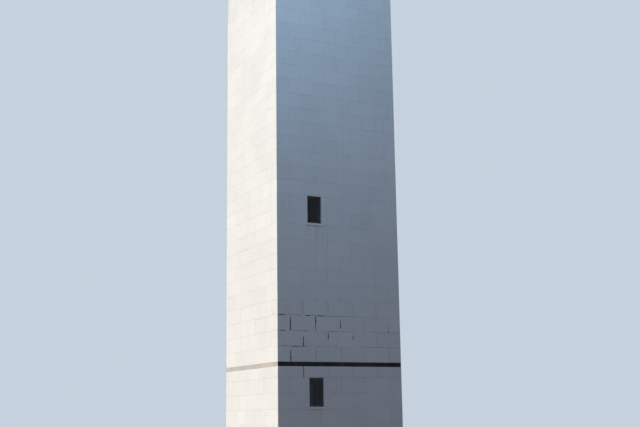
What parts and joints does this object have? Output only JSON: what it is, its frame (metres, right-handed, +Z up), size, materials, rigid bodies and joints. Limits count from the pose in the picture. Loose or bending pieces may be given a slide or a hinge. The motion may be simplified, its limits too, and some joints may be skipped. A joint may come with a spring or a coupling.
{
  "type": "observation tower",
  "caption": "Square blockwork observation tower with narrow windows, a doorway at its foot, floors inside and an open railed deck on top.",
  "frame": {"origin": "on the ground under the middle of the shaft", "axes": "+Z up, the windowed front faces -Y, the plain left side faces -X and the doorway faces +X"},
  "size_m": [3.24, 3.24, 13.68],
  "materials": {
    "blockwork": "pale, matt, weathered",
    "concrete": "cast, matt",
    "sill_stone": "matt",
    "window_frame": "satin",
    "window_glass": "clear, dark",
    "door_frame": "satin",
    "rail": "grey, satin",
    "hatch": "grey, satin"
  },
  "bodies": {
    "root": {"base_slab": "concrete", "front_wall_storey_1": "blockwork", "back_wall_storey_1": "blockwork", "left_wall_storey_1": "blockwork", "front_wall_storey_2": "blockwork", "back_wall_storey_2": "blockwork", "left_wall_storey_2": "blockwork", "front_wall_storey_3": "blockwork", "back_wall_storey_3": "blockwork", "left_wall_storey_3": "blockwork", "right_wall_door_side_front": "blockwork", "right_wall_door_side_back": "blockwork", "right_wall_over_door": "blockwork", "right_wall_storey_2": "blockwork", "right_wall_storey_3": "blockwork", "floor_storey_2": "concrete", "floor_storey_3": "concrete", "front_window_sill_1": "sill_stone", "front_window_frame_1": "window_frame", "front_window_pane_1": "window_glass", "front_window_sill_2": "sill_stone", "front_window_frame_2": "window_frame", "front_window_pane_2": "window_glass", "back_window_sill_1": "sill_stone", "back_window_frame_1": "window_frame", "back_window_pane_1": "window_glass", "back_window_sill_2": "sill_stone", "back_window_frame_2": "window_frame", "back_window_pane_2": "window_glass", "door_threshold": "sill_stone", "door_frame": "door_frame", "deck_slab": "concrete", "hatch_lid": "hatch", "parapet_front": "blockwork", "coping_front": "sill_stone", "rail_front": "rail", "parapet_right": "blockwork", "coping_right": "sill_stone", "rail_right": "rail", "parapet_back": "blockwork", "coping_back": "sill_stone", "rail_back": "rail", "parapet_left": "blockwork", "coping_left": "sill_stone", "rail_left": "rail"}
  },
  "joints": []
}
